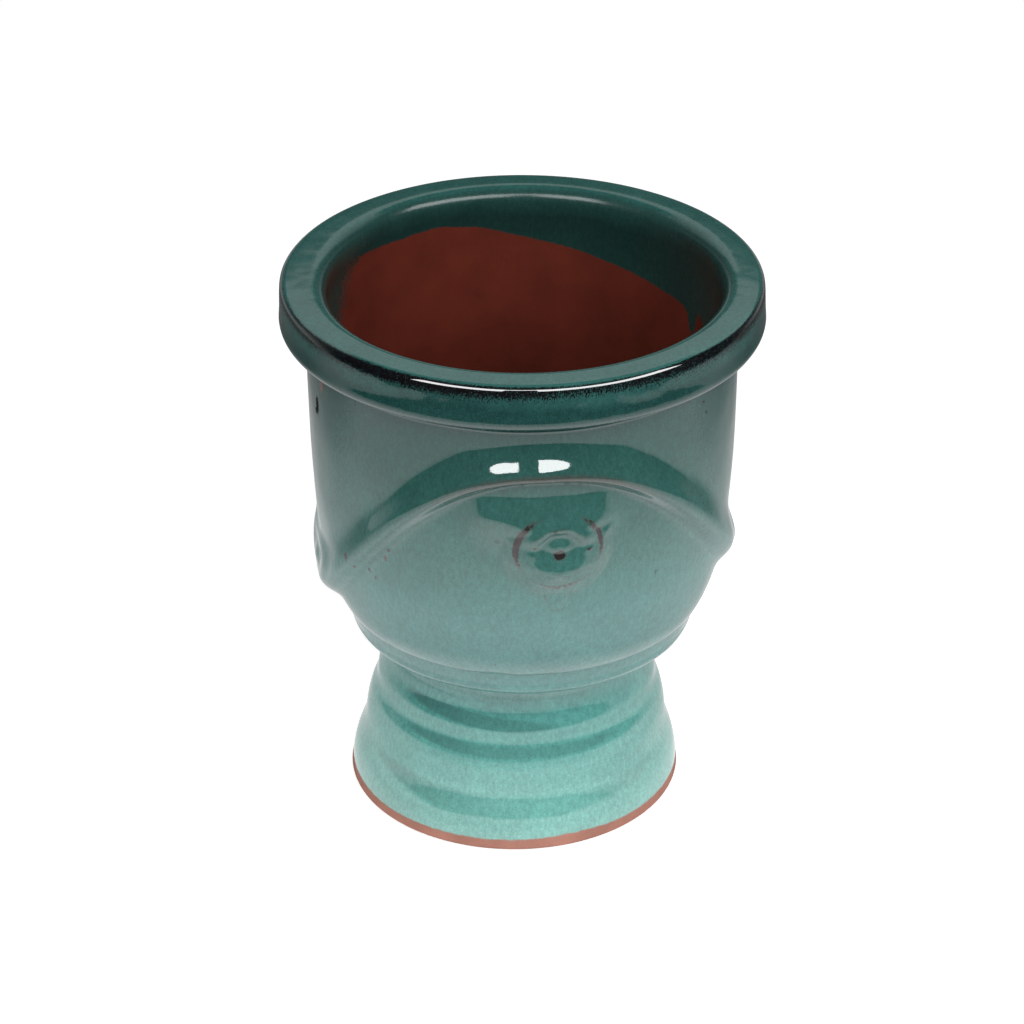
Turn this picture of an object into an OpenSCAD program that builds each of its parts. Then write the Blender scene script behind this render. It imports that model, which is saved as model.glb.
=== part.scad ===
// Urn planter: a glazed clay urn with a heavy rolled rim on a flared, hollow foot.
// The thrown bowl, foot and rim are luted together, a coil of clay covers the joint at the waist,
// and pressed ornaments (garlands, drapes, swags, rosettes and pendants) are applied to the wall.
// The urn stands on the plane z = 0, round the Z axis, and its front rosette faces -Y.

/* [Bowl] */
// Outer diameter of the bowl's wall where the rim sits
bowl_d = 285.6; // [260:0.2:310]
// Height of the bowl, from its seat on the foot to its seat under the rim
bowl_h = 205; // [185:1:250]
// Thickness of the wall
wall = 11; // [8:0.5:15]
// How far the wall draws in, in one long belly curve, from the rim to the bowl's lower edge
belly_draw = 11.5; // [6:0.5:18]
// How far the wall tucks in again, close to the bowl's lower edge
tuck_in = 8.3; // [4:0.1:12]
// Thickness of the bowl's floor
floor_t = 18; // [16:0.5:26]
// Radius of the inside corner between wall and floor
floor_round = 14; // [8:1:18]
// Diameter of the drain hole in the floor
drain_d = 24; // [12:1:40]
// Diameter of the fine bead round the wall just under the rim
bead_d = 3.2; // [2:0.1:5]

/* [Rim] */
// How far the rolled rim stands out past the bowl's wall
rim_overhang = 17.2; // [13:0.2:26]
// Height of the rolled rim
rim_h = 38; // [32:1:48]
// How far the rim's underside rises from the wall to its outer edge
rim_under_rise = 5.5; // [2:0.5:7]
// Radius of the rim's outer lower edge
rim_under_round = 6.5; // [4:0.5:10]
// Radius of the rim's outer shoulder, where the glaze breaks dark
rim_shoulder_round = 5; // [3:0.5:9]
// Radius of the rim's inner lip
rim_lip_round = 10; // [6:0.5:14]
// Lean of the rim's outer face, in degrees from upright
rim_lean = 5; // [0:1:10]
// How far the top of the rim falls from its inner lip to its outer shoulder
rim_crown = 0.6; // [0.4:0.1:3]

/* [Foot] */
// Height of the foot, from the ground to the bowl's seat
foot_h = 136; // [120:1:160]
// Outer diameter of the foot at the ground
foot_d = 230.6; // [210:0.2:250]
// Outer diameter of the waist
waist_d = 180; // [160:1:186]
// Wall thickness of the foot
foot_wall = 12.5; // [9:0.5:16]
// Height of the neck that flares out from the waist to the joint
neck_h = 20; // [14:1:26]
// Height of the cup at the top of the foot, inside the collar
cup_h = 12; // [8:0.5:16]
// Inner diameter of the cup, where the bowl rests on it
cup_bore_d = 184; // [160:1:190]
// Distance of each throwing groove below the waist
groove_drop = [9, 30, 65]; // [8:1:80]
// Half width of each throwing groove
groove_half = [12, 11, 20]; // [6:1:20]
// Depth of each throwing groove
groove_depth = [1.3, 1.4, 1.7]; // [0.5:0.1:3]
// Radius of the foot's outer bottom edge
foot_edge_round = 2; // [1:0.5:4]

/* [Collar] */
// Diameter of the joint that the collar goes round
joint_d = 216; // [208:0.5:222]
// Height of the collar
collar_h = 23; // [20.5:0.5:27]
// Outer diameter of the collar where it starts to turn under
collar_d = 235; // [232:0.5:242]
// Radius of the collar's lower edge
collar_round = 10; // [6:0.5:10]
// How far the collar's top edge lies inside the bowl's lower edge
collar_step = 0.9; // [0.4:0.1:2]

/* [Garlands and swags] */
// Distance from the rim down to the top of the garland, at its crest
garland_below_rim = 11; // [6:0.5:20]
// Width of the garland at its crest
garland_crest_w = 30; // [24:0.5:36]
// Thickness of the garland at its crest
garland_crest_t = 8; // [5:0.1:10]
// Height of the swags' lower edge over the bowl's lower edge
swag_above_edge = 13; // [8:0.5:20]
// Width of a swag at its middle, where it is broadest
swag_w = 53; // [44:0.5:60]
// Thickness of a swag at its middle
swag_t = 8.5; // [6:0.1:11]
// Angle from the front rosette to the joint between garland and swag, in degrees
swag_joint_angle = 52; // [46:1:60]
// Height of the folds in a swag
swag_fold_h = 0.8; // [0:0.1:1.5]
// Pitch of the folds in a swag
swag_fold_pitch = 15; // [12:0.5:24]

/* [Rosettes, pendants and drapes] */
// Diameter of a rosette
rosette_d = 66; // [58:0.5:70]
// Distance from the garland's lower edge down to the rosette's centre
rosette_drop = 48; // [42:0.5:54]
// Thickness of a rosette at its outer ring
rosette_ring_t = 3.6; // [2:0.1:4.4]
// Thickness of a rosette at its wreath of petals, the highest part
rosette_wreath_t = 5.6; // [4.5:0.1:7]
// Thickness of a rosette in the dish between its wreath and its eye
rosette_dish_t = 3.4; // [1.6:0.1:4]
// Number of petals on a rosette's wreath
petal_count = 8; // [5:1:10]
// Height of the petals, over the wreath
petal_h = 0.4; // [0.2:0.1:1.5]
// Height of the ring round a rosette's eye, over the dish
eye_h = 1.2; // [0.5:0.1:2]
// Depth of the pit in a rosette's eye, below the dish
eye_pit = 1.4; // [0.3:0.1:1.5]
// Width of a pendant at its top
pendant_w = 21; // [14:0.5:28]
// Length of a pendant below its rosette
pendant_l = 16; // [10:0.5:26]
// Thickness of a pendant
pendant_t = 2; // [1.2:0.1:3]
// Distance from the garland's lower edge, at its crest, down to the drape's lower edge
drape_drop = 29; // [26:0.5:34]
// Half of the angle that a drape covers, in degrees
drape_half_angle = 28; // [24:0.5:29]
// Thickness of a drape at its lower edge
drape_t = 4.6; // [2:0.1:6]

/* [Joints] */
// Gap round a curved joint, filled with slip
lute_gap = 0.3; // [0.2:0.05:0.4]
// Thickness of an ornament's feathered edge
feather = 0.6; // [0.4:0.05:1]

/* [Hidden] */
$fn = 180;

// Heights of the joints between the thrown pieces
bowl_base_z = foot_h;
rim_base_z = bowl_base_z + bowl_h;
rim_top_z = rim_base_z + rim_h;
collar_base_z = foot_h - cup_h;
bowl_edge_z = collar_base_z + collar_h;
waist_z = collar_base_z - neck_h;
floor_z = bowl_base_z + floor_t;

// Radii that several pieces share
joint_r = joint_d / 2;
mouth_r = bowl_d / 2 - wall;

// Shape of the curves: the power of each, where 1 is straight and more bends later
belly_power = 2.55;
tuck_power = 11.4;
flare_power = 1.15;
garland_power = 1.15;

// Points along the curves
wall_steps = 30;
foot_steps = 42;
neck_steps = 8;
arc_steps = 8;

// Heights of the ornament, measured from the rim down and from the bowl's edge up
garland_low_z = rim_base_z - garland_below_rim - garland_crest_w;
garland_high_z = rim_base_z - garland_below_rim;
swag_low_z = bowl_edge_z + swag_above_edge;
swag_high_z = swag_low_z + swag_w;
rosette_z = garland_low_z - rosette_drop;
drape_low_z = garland_low_z - drape_drop;

// Angles, in degrees
quarter = 90;
half_turn = 180;
full_turn = 360;

// Stations along and across each ornament
garland_stations = 44;
garland_columns = 9;
swag_stations = 30;
swag_columns = 11;
drape_stations = 32;
drape_columns = 5;
pendant_stations = 8;
pendant_columns = 8;
rosette_spokes = 48;
bead_sides = 24;

// Where the band's ridge runs, from its lower edge, 0, to its upper edge, 1
crest_ridge = 0.14;
swag_ridge = 0.5;
garland_ridge_column = 3;
swag_ridge_column = 4;

// The swag's folds are this many times as long as they are high
fold_stretch = 2;

// Relief of a rosette: where each part of it is and half of its width, as shares of the radius
ring_at = 0.82;
wreath_at = 0.5;
petal_half = 0.2;
dish_at = 0.28;
eye_at = 0.17;
eye_half = 0.1;
pit_half = 0.12;

// Circles of points on a rosette, as shares of its radius, closest together where the relief turns
rosette_circles = [0.06, 0.12, 0.17, 0.22, 0.28, 0.36, 0.44, 0.5, 0.6, 0.72, 0.82, 0.91, 1];

// A smooth bump of height 1 at centre, down to 0 at half_width on either side of it
function bump(x, centre, half_width) =
    abs(x - centre) < half_width ? (1 + cos(half_turn * (x - centre) / half_width)) / 2 : 0;

// Points on an arc, from one angle to another
function arc(x, y, r, from, to, steps = arc_steps) =
    [for (i = [0:steps]) let (a = from + (to - from) * i / steps) [x + r * cos(a), y + r * sin(a)]];

// Outer radius of the bowl's wall at height z
function wall_depth(z) = max(0, min(1, (rim_base_z - z) / (rim_base_z - bowl_edge_z)));
function wall_r(z) =
    bowl_d / 2 - belly_draw * pow(wall_depth(z), belly_power) - tuck_in * pow(wall_depth(z), tuck_power);

// Outer radius of the foot at height z, below the waist, without and with its throwing grooves
function flare_r(z) = foot_d / 2 - (foot_d - waist_d) / 2 * pow(z / waist_z, flare_power);
function groove(z, i) = groove_depth[i] * bump(waist_z - z, groove_drop[i], groove_half[i]);
function foot_r(z) = flare_r(z) - groove(z, 0) - groove(z, 1) - groove(z, 2);

// Outer radius of the foot's neck, from the waist up to the cup
function neck_r(z) = waist_d / 2 + (joint_r - waist_d / 2) * (1 - sqrt(1 - pow((z - waist_z) / neck_h, 2)));

// The bowl: a thrown wall and floor, with a plain base that the foot's cup carries
module bowl() {
    corner_z = floor_z + floor_round;
    corner_r = wall_r(corner_z) - wall - floor_round;
    outside = [for (i = [0:wall_steps])
        let (z = bowl_edge_z + (rim_base_z - bowl_edge_z) * i / wall_steps) [wall_r(z), z]];
    inside = [for (i = [wall_steps:-1:0])
        let (z = corner_z + (rim_base_z - corner_z) * i / wall_steps) [wall_r(z) - wall, z]];
    corner = arc(corner_r, corner_z, floor_round, 0, -quarter);
    hole_r = drain_d / 2;
    base = [[hole_r, floor_z], [hole_r, bowl_base_z], [joint_r, bowl_base_z], [joint_r, bowl_edge_z]];
    color("#74a39b")
    union() {
        rotate_extrude() polygon(concat(outside, inside, corner, base));
        translate([0, 0, rim_base_z - bead_d]) rotate_extrude() translate([bowl_d / 2, 0])
            circle(d = bead_d, $fn = bead_sides);
    }
}

// The rim: a heavy roll that sits on top of the wall and hangs out over it, with a rising underside.
// Its outer face leans in, and meets the lower edge's arc and the shoulder's arc smoothly.
module rim() {
    roll_r = bowl_d / 2 + rim_overhang - rim_under_round;
    roll_z = rim_base_z + rim_under_rise + rim_under_round;
    shoulder_z = rim_top_z - rim_crown - rim_shoulder_round;
    rounds_differ = rim_under_round - rim_shoulder_round;
    shoulder_r = roll_r + (rounds_differ - sin(rim_lean) * (shoulder_z - roll_z)) / cos(rim_lean);
    seat = [[mouth_r, rim_base_z], [bowl_d / 2, rim_base_z]];
    lower_edge = arc(roll_r, roll_z, rim_under_round, -quarter, rim_lean);
    shoulder = arc(shoulder_r, shoulder_z, rim_shoulder_round, rim_lean, quarter);
    lip = arc(mouth_r + rim_lip_round, rim_top_z - rim_lip_round, rim_lip_round, quarter, half_turn);
    color("#2f5c57")
    rotate_extrude() polygon(concat(seat, lower_edge, shoulder, lip));
}

// The collar: a coil round the joint between bowl and foot, turned under at its lower edge
module collar() {
    bore_r = joint_r + lute_gap;
    turn_r = collar_d / 2 - collar_round;
    first_angle = -acos(max(0, (bore_r - turn_r) / collar_round));
    lower_edge = arc(turn_r, collar_base_z + collar_round, collar_round, first_angle, 0);
    top = [[wall_r(bowl_edge_z) - collar_step, bowl_edge_z], [bore_r, bowl_edge_z]];
    color("#7fb3aa")
    rotate_extrude() polygon(concat(lower_edge, top));
}

// The foot: a hollow, open thrown ring with throwing grooves, a flared neck and a cup for the bowl
module foot() {
    edge = arc(foot_d / 2 - foot_edge_round, foot_edge_round, foot_edge_round, -quarter, 0);
    flank = [for (i = [1:foot_steps])
        let (z = foot_edge_round + (waist_z - foot_edge_round) * i / foot_steps) [foot_r(z), z]];
    neck = [for (i = [1:neck_steps])
        let (z = waist_z + neck_h * sin(quarter * i / neck_steps)) [neck_r(z), z]];
    cup = [[joint_r, foot_h], [cup_bore_d / 2, foot_h]];
    hollow = [for (i = [neck_steps:-1:0]) let (z = waist_z * i / neck_steps) [flare_r(z) - foot_wall, z]];
    color("#8cc4b8")
    rotate_extrude() polygon(concat(edge, flank, neck, cup, hollow));
}

// A point on the wall: an angle round from the front, a height, and how far it stands off the wall
function on_wall(angle, z, h) =
    let (r = wall_r(z) + lute_gap + h) [r * sin(angle), -r * cos(angle), z];

// Angle round the wall of a point beside the rosette's centre line
function side_angle(across, z) = across / wall_r(z) * half_turn / PI;

// Faces of a closed sheet of stations by columns, outer skin first and inner skin after it
function quad(a, b, c, d) = [[a, b, c], [a, c, d]];
function sheet_faces(n, m) = let (back = n * m) [
    for (i = [0:n - 2], j = [0:m - 2], f = quad(i * m + j, i * m + j + 1,
        (i + 1) * m + j + 1, (i + 1) * m + j)) f,
    for (i = [0:n - 2], j = [0:m - 2], f = quad(back + i * m + j, back + (i + 1) * m + j,
        back + (i + 1) * m + j + 1, back + i * m + j + 1)) f,
    for (i = [0:n - 2], f = quad(i * m, (i + 1) * m, back + (i + 1) * m, back + i * m)) f,
    for (i = [0:n - 2], f = quad(i * m + m - 1, back + i * m + m - 1,
        back + (i + 1) * m + m - 1, (i + 1) * m + m - 1)) f,
    for (j = [0:m - 2], f = quad(j, back + j, back + j + 1, j + 1)) f,
    for (j = [0:m - 2], f = quad((n - 1) * m + j, (n - 1) * m + j + 1,
        back + (n - 1) * m + j + 1, back + (n - 1) * m + j)) f
];

// A sheet on the wall, from rows of [angle, z, height] stations
module wall_sheet(rows) {
    flat = [for (row = rows) each row];
    outer = [for (p = flat) on_wall(p[0], p[1], p[2])];
    inner = [for (p = flat) on_wall(p[0], p[1], 0)];
    polyhedron(points = concat(outer, inner), faces = sheet_faces(len(rows), len(rows[0])), convexity = 6);
}

// The wave of the garland and swags round the wall: 0 at the rosettes and 1 at the sides
function wave(angle) = pow((1 - cos(2 * angle)) / 2, garland_power);
function band_low(angle) = garland_low_z - (garland_low_z - swag_low_z) * wave(angle);
function band_high(angle) = garland_high_z - (garland_high_z - swag_high_z) * wave(angle);
function band_t(angle) = garland_crest_t + (swag_t - garland_crest_t) * wave(angle);

// The band's cross-section, from its lower edge, 0, to its upper edge, 1: a round nose and a long slope
function ridge_at(angle) = crest_ridge + (swag_ridge - crest_ridge) * wave(angle);
function nose_h(t, ridge) =
    t < ridge ? sin(quarter * t / ridge) : (1 + cos(half_turn * (t - ridge) / (1 - ridge))) / 2;
function band_h(angle, t) = feather + (band_t(angle) - feather) * nose_h(t, ridge_at(angle));

// Place across the band of column j, closer together on the nose than on the slope
function band_column(angle, j, ridge_column, columns) = let (ridge = ridge_at(angle))
    j < ridge_column ? ridge * j / ridge_column
        : ridge + (1 - ridge) * (j - ridge_column) / (columns - ridge_column);

// The swag's folds: nested ovals about its middle, none at its edges
function fold_h(angle, t) = let (
    along = (angle - quarter) * PI / half_turn * bowl_d / 2,
    up = (t - 1 / 2) * swag_w,
    faded = sin(half_turn * t) * bump(angle, quarter, quarter - swag_joint_angle))
    swag_fold_h * faded * cos(full_turn * norm([along / fold_stretch, up]) / swag_fold_pitch);

// A garland: a broad band that arches over a rosette, with a crisp lower edge
module garland() {
    span = swag_joint_angle;
    color("#5f938b")
    wall_sheet([for (i = [0:garland_stations])
        let (a = -span + 2 * span * i / garland_stations)
        [for (j = [0:garland_columns])
            let (t = band_column(a, j, garland_ridge_column, garland_columns))
            [a, band_low(a) + (band_high(a) - band_low(a)) * t, band_h(a, t)]]]);
}

// A swag: the fat, folded part of the band at the urn's side, between two garlands
module swag() {
    first = swag_joint_angle + side_angle(lute_gap, garland_low_z);
    last = half_turn - first;
    color("#6b9d94")
    wall_sheet([for (i = [0:swag_stations])
        let (a = first + (last - first) * i / swag_stations)
        [for (j = [0:swag_columns])
            let (t = band_column(a, j, swag_ridge_column, swag_columns))
            [a, band_low(a) + (band_high(a) - band_low(a)) * t, band_h(a, t) + fold_h(a, t)]]]);
}

// A drape: a thin sheet hung under the garland's arch, cut out round the rosette
function drape_floor(a) = let (
    across = a * PI / half_turn * wall_r(rosette_z),
    clear_r = rosette_d / 2 + lute_gap,
    over_rosette = rosette_z + sqrt(max(0, clear_r * clear_r - across * across)))
    max(drape_low_z, over_rosette);
module drape() {
    color("#79aaa1")
    wall_sheet([for (i = [0:drape_stations])
        let (a = -drape_half_angle + 2 * drape_half_angle * i / drape_stations,
            low = drape_floor(a),
            high = max(low + feather, band_low(a) - lute_gap),
            t = feather + (drape_t - feather) * bump(a, 0, drape_half_angle))
        [for (j = [0:drape_columns])
            let (up = j / drape_columns)
            [a, low + (high - low) * up, t + (feather - t) * up]]]);
}

// A rosette: a bevelled disc with a crisp outer ring, a swelling wreath of petals, a dish and an eye
function rosette_base(q) = let (
    bevel = (1 - q) / (1 - ring_at),
    outer = cos(quarter * (q - wreath_at) / (ring_at - wreath_at)),
    inner = (1 - cos(half_turn * (q - dish_at) / (wreath_at - dish_at))) / 2)
    q > ring_at ? feather + (rosette_ring_t - feather) * bevel
    : q > wreath_at ? rosette_ring_t + (rosette_wreath_t - rosette_ring_t) * outer
    : q > dish_at ? rosette_dish_t + (rosette_wreath_t - rosette_dish_t) * inner
    : rosette_dish_t - eye_pit * bump(q, 0, pit_half);
function rosette_h(q, angle) = let (
    petals = petal_h * bump(q, wreath_at, petal_half) * (1 + cos(petal_count * angle)) / 2)
    rosette_base(q) + petals + eye_h * bump(q, eye_at, eye_half);
module rosette() {
    n = rosette_spokes;
    grid = [for (q = rosette_circles, k = [0:n - 1])
        let (angle = full_turn * k / n, z = rosette_z + rosette_d / 2 * q * sin(angle))
        [side_angle(rosette_d / 2 * q * cos(angle), z), z, rosette_h(q, angle)]];
    rings = len(rosette_circles);
    middle = [0, rosette_z, rosette_h(0, 0)];
    outer = [for (p = concat(grid, [middle])) on_wall(p[0], p[1], p[2])];
    inner = [for (p = concat(grid, [middle])) on_wall(p[0], p[1], 0)];
    back = n * rings + 1;
    faces = [
        for (k = [0:n - 1]) [n * rings, (k + 1) % n, k],
        for (k = [0:n - 1]) [back + n * rings, back + k, back + (k + 1) % n],
        for (i = [0:rings - 2], k = [0:n - 1], f = quad(i * n + k, i * n + (k + 1) % n,
            (i + 1) * n + (k + 1) % n, (i + 1) * n + k)) f,
        for (i = [0:rings - 2], k = [0:n - 1], f = quad(back + i * n + k, back + (i + 1) * n + k,
            back + (i + 1) * n + (k + 1) % n, back + i * n + (k + 1) % n)) f,
        for (k = [0:n - 1], f = quad((rings - 1) * n + k, (rings - 1) * n + (k + 1) % n,
            back + (rings - 1) * n + (k + 1) % n, back + (rings - 1) * n + k)) f
    ];
    color("#4f857c")
    polyhedron(points = concat(outer, inner), faces = faces, convexity = 6);
}

// A pendant: a round-ended tongue that hangs from a rosette
module pendant() {
    top_half = pendant_w / 2;
    rosette_r = rosette_d / 2 + lute_gap;
    tip_z = rosette_z - rosette_d / 2 - pendant_l;
    color("#6fa299")
    wall_sheet([for (i = [0:pendant_stations])
        let (s = -1 + 2 * i / pendant_stations,
            across = top_half * s,
            high = rosette_z - sqrt(rosette_r * rosette_r - across * across),
            low = high - feather - (high - tip_z - feather) * sqrt(max(0, 1 - s * s)))
        [for (j = [0:pendant_columns])
            let (up = j / pendant_columns, z = low + (high - low) * up)
            [side_angle(across, rosette_z), z,
                feather + (pendant_t - feather) * sin(quarter * up) * sqrt(max(0, 1 - s * s))]]]);
}

// The same ornament on the far side of the urn
module to_back() {
    rotate([0, 0, half_turn]) children();
}

bowl();
rim();
collar();
foot();
garland();  // garland_front
to_back() garland();  // garland_back
drape();  // drape_front
to_back() drape();  // drape_back
to_back() swag();  // swag_left
swag();  // swag_right
rosette();  // rosette_front
to_back() rosette();  // rosette_back
pendant();  // pendant_front
to_back() pendant();  // pendant_back
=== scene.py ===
"""The urn planter's looks: glazed skins with their relief, the clay that stays bare, light, floor and camera.

Lengths are in millimetres until a mesh is made, but those of the studio's floor, wall, lamps and windows
are in metres. Angles are in degrees round the Z axis, 0 at the front rosette (-Y) and 90 at +X.
"""

import math

import bpy
import numpy as np
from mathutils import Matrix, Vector


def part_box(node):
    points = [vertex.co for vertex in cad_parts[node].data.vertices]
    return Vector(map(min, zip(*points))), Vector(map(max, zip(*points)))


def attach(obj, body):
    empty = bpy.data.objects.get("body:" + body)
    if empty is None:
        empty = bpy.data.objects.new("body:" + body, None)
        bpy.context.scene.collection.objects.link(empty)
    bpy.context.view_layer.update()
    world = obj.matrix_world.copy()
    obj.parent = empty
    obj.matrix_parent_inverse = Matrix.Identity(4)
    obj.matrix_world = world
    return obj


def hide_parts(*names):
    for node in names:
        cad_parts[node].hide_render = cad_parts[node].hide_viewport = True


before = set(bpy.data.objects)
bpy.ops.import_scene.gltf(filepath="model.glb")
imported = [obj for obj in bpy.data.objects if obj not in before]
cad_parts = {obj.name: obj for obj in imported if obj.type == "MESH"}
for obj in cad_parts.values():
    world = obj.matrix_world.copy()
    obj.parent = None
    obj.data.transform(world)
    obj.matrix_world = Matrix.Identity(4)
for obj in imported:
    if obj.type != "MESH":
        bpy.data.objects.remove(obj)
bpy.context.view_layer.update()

MM = 0.001
SHARP_EDGE = 40.0


def node_size(node):
    """A CAD node's outer radius, lowest height and highest height, in millimetres."""
    low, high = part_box(node)
    return high.y / MM, low.z / MM, high.z / MM


# The thrown pieces, as the frame has them
THROWN = ("bowl", "rim", "collar", "foot")
RIM_R, RIM_BASE_Z, RIM_TOP_Z = node_size("rim")
BEADED_R, BOWL_BASE_Z, _ = node_size("bowl")
COLLAR_R, COLLAR_BASE_Z, BOWL_EDGE_Z = node_size("collar")
FOOT_R, _, CUP_Z = node_size("foot")

# Bowl
BEAD_D = 3.2
BOWL_R = BEADED_R - BEAD_D / 2
WALL = 11.0
BELLY_DRAW, BELLY_POWER = 11.5, 2.55
TUCK_IN, TUCK_POWER = 8.3, 11.4
FLOOR_T = 18.0
FLOOR_ROUND = 14.0
DRAIN_R = 12.0
MOUTH_R = BOWL_R - WALL
JOINT_R = 108.0

# Rim
RIM_UNDER_RISE = 5.5
RIM_UNDER_ROUND = 6.5
RIM_SHOULDER_ROUND = 5.0
RIM_LIP_ROUND = 10.0
RIM_LEAN = 5.0
RIM_CROWN = 0.6

# Collar
COLLAR_ROUND = 10.0
COLLAR_TURN_R = 117.5
COLLAR_TOP_IN = 0.2
LUTE_GAP = 0.3
COLLAR_BORE_R = JOINT_R + LUTE_GAP

# Foot
WAIST_R = 90.0
WAIST_Z = COLLAR_BASE_Z - 20.0
FLARE_POWER = 1.15
FOOT_WALL = 12.5
FOOT_EDGE_ROUND = 2.0
CUP_BORE_R = 92.0
GROOVE_Z = (95.0, 74.0, 39.0)
GROOVE_HALF = (12.0, 11.0, 20.0)
GROOVE_DEPTH = (1.3, 1.4, 1.7)
# The highest groove's share away from its deepest place, and that place's (angle, half width)
HIGH_GROOVE_SHARE, HIGH_GROOVE_AT = 0.30, (-22.0, 60.0)
# How far the foot stands off the bowl's axis at the ground, what share less at the waist, and which way
FOOT_ASIDE, FOOT_LEAN, FOOT_ASIDE_WAY = 5.2, 0.42, (-0.990, 0.139, 0.0)
FOOT_ASIDE_END = (WAIST_Z - 6.0, COLLAR_BASE_Z)
# How far the wall is drawn in at the ground, and the heights between which that stops
TOE_IN, TOE_SPAN = 1.0, (2.0, 16.0)

# Slow waves that throwing left in each piece: (height, wavelength, phase). The rim's are set in a little.
BOWL_WAVES = ((0.30, 130.0, 0.7), (0.08, 47.0, 2.1))
COLLAR_WAVES = ((0.25, 110.0, 3.3),)
FOOT_WAVES = ((0.25, 150.0, 5.2), (0.06, 50.0, 0.4))
RIM_WAVES, RIM_WAVES_IN = ((0.05, 90.0, 1.3),), 0.05

# Garland and swags: heights of the band's edges at the crest and at the sides
CREST_LOW_Z, CREST_HIGH_Z = RIM_BASE_Z - 38.0, RIM_BASE_Z - 5.5
SWAG_LOW_Z, SWAG_HIGH_Z = BOWL_EDGE_Z + 12.0, BOWL_EDGE_Z + 64.0
BAND_POWER = 1.15
CREST_T, SWAG_T = 8.7, 8.5
# The left swag hangs lower, and its ridge runs lower on it
LEFT_SAG, LEFT_RIDGE = 6.5, 0.17
# Where the garland's crest is a little thicker: (height, angle from its middle, half width in degrees)
CREST_SWELLS = ((1.12, -2.0, 26.0), (0.75, -12.5, 7.0), (0.25, 2.5, 13.0))
# Where the band's ridge runs, from its lower edge, 0, to its upper edge, 1
CREST_RIDGE, SWAG_RIDGE, RIDGE_POWER = 0.17, 0.39, 0.75
# How the slope above the ridge is skewed, where 1 is even and less falls sooner
CREST_SKEW, SKEW_POWER = 0.74, 0.5
# The swags' folds
FOLD_H, FOLD_PITCH, FOLD_STRETCH, FOLD_REACH = 0.8, 15.0, 2.0, 95.0

# Drape: its heights and slope, then how far its lower edge tilts and sags, and where across it does
DRAPE_LOW_Z = RIM_BASE_Z - 64.5
DRAPE_TOP_Z = RIM_BASE_Z - 49.0
DRAPE_TOP_T = 0.6
DRAPE_SLOPE = 0.25
DRAPE_TILT, DRAPE_TILT_HALF = 1.2, 30.0
DRAPE_SAG, DRAPE_SAG_AT, DRAPE_SAG_HALF = 12.0, -1.0, 44.0
# Where the drape begins at its left and ends at its right, and how far below and above its edge it fades
DRAPE_LEFT, DRAPE_RIGHT = (-66.0, -38.0), (16.0, 50.0)
DRAPE_BELOW, DRAPE_ABOVE = 30.0, 4.0
# The distances from a rosette's middle between which the drape begins
DRAPE_OFF_ROSETTE = (16.0, 25.0)

# Rosette
ROSETTE_R = 33.0
ROSETTE_Z = RIM_BASE_Z - 87.8
ROSETTE_RING_R = 27.6
RING_T, DISH_T = 4.5, 5.0
RING_BEAD_H, RING_BEAD_HALF = 0.3, 1.6
# The lower plate thickens downward: from how far up, how steeply, over how far, and inside which radius
PLATE_FROM, PLATE_SLOPE, PLATE_DROP, PLATE_R = 3.0, 0.29, 16.0, 16.0
# Height of a rosette's upper part, by distance from its middle
RELIEF_UP = (
    (0.0, 6.9), (4.4, 6.9), (10.8, 5.2), (12.3, 5.5), (16.5, 8.0), (18.0, 8.0), (27.0, 4.5), (30.5, 3.4),
    (34.0, 2.2), (38.5, 0.8),
)
# Sines between which the lower plate turns into the upper part
UPPER_SPAN = (0.08, 0.50)
# Width of the outer bevel, how much wider it is at one (angle, half width), and its lift in the upper part
BEVEL_W, BEVEL_WIDER, BEVEL_WIDER_AT, BEVEL_LIFT = 5.0, 1.5, (145.0, 55.0), 2.4
PETALS, PETAL_H, PETAL_R, PETAL_HALF = 8.0, 0.25, 15.5, 5.0
EYE_H, EYE_R, EYE_HALF = 0.35, 4.6, 3.2
PIT_D, PIT_SPAN = 0.25, (0.8, 4.5)
# Studs on a rosette: across, up, half width, half height
STUDS = ((-15.9, 4.2, 4.4, 2.6), (18.8, 0.4, 3.4, 3.2), (-3.4, 16.4, 2.6, 2.6))
STUD_H = 0.9

# Pendant
PENDANT_TOP, PENDANT_HALF_W, PENDANT_L = 26.0, 11.0, 24.0
PENDANT_T, PENDANT_EDGE = 1.2, 4.5

# The ornaments were set by hand, so they sit a little off the middle
GARLAND_TURN = -2.75
ROSETTE_TURN = 1.2


# SHAPE


def ease(x, start, end):
    """0 before start, 1 after end, and smooth between."""
    t = np.clip((x - start) / (end - start), 0.0, 1.0)
    return t * t * (3.0 - 2.0 * t)


def bump(x, centre, half_width):
    """1 at centre, down to 0 at half_width on either side of it."""
    near = np.clip(np.abs(x - centre) / half_width, 0.0, 1.0)
    return (1.0 + np.cos(np.pi * near)) / 2.0


def off_from(angle, centre):
    """Angle from centre round to angle, between -180 and 180."""
    return (angle - centre + 180.0) % 360.0 - 180.0


def around(angle, centre, half_width):
    """A bump round a circle."""
    return bump(off_from(angle, centre), 0.0, half_width)


def ripple(angle, z, wavelength, phase):
    """A slow, uneven wave over the surface, between about -1 and 1, which closes on itself round the pot."""
    turns = 2.0 * math.pi * BOWL_R / wavelength
    low, mid, high = round(turns * 0.62), round(turns), round(turns * 1.45)
    a = np.radians(angle)
    k = 2.0 * math.pi / wavelength
    return (
        np.sin(low * a + 0.71 * k * z + phase)
        + np.sin(mid * a - 0.83 * k * z + 2.3 * phase)
        + np.sin(high * a + 0.37 * k * z + 4.1 * phase)
    ) / 2.4


def waves(angle, z, kinds):
    """The sum of several ripples."""
    return sum(height * ripple(angle, z, wavelength, phase) for height, wavelength, phase in kinds)


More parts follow.
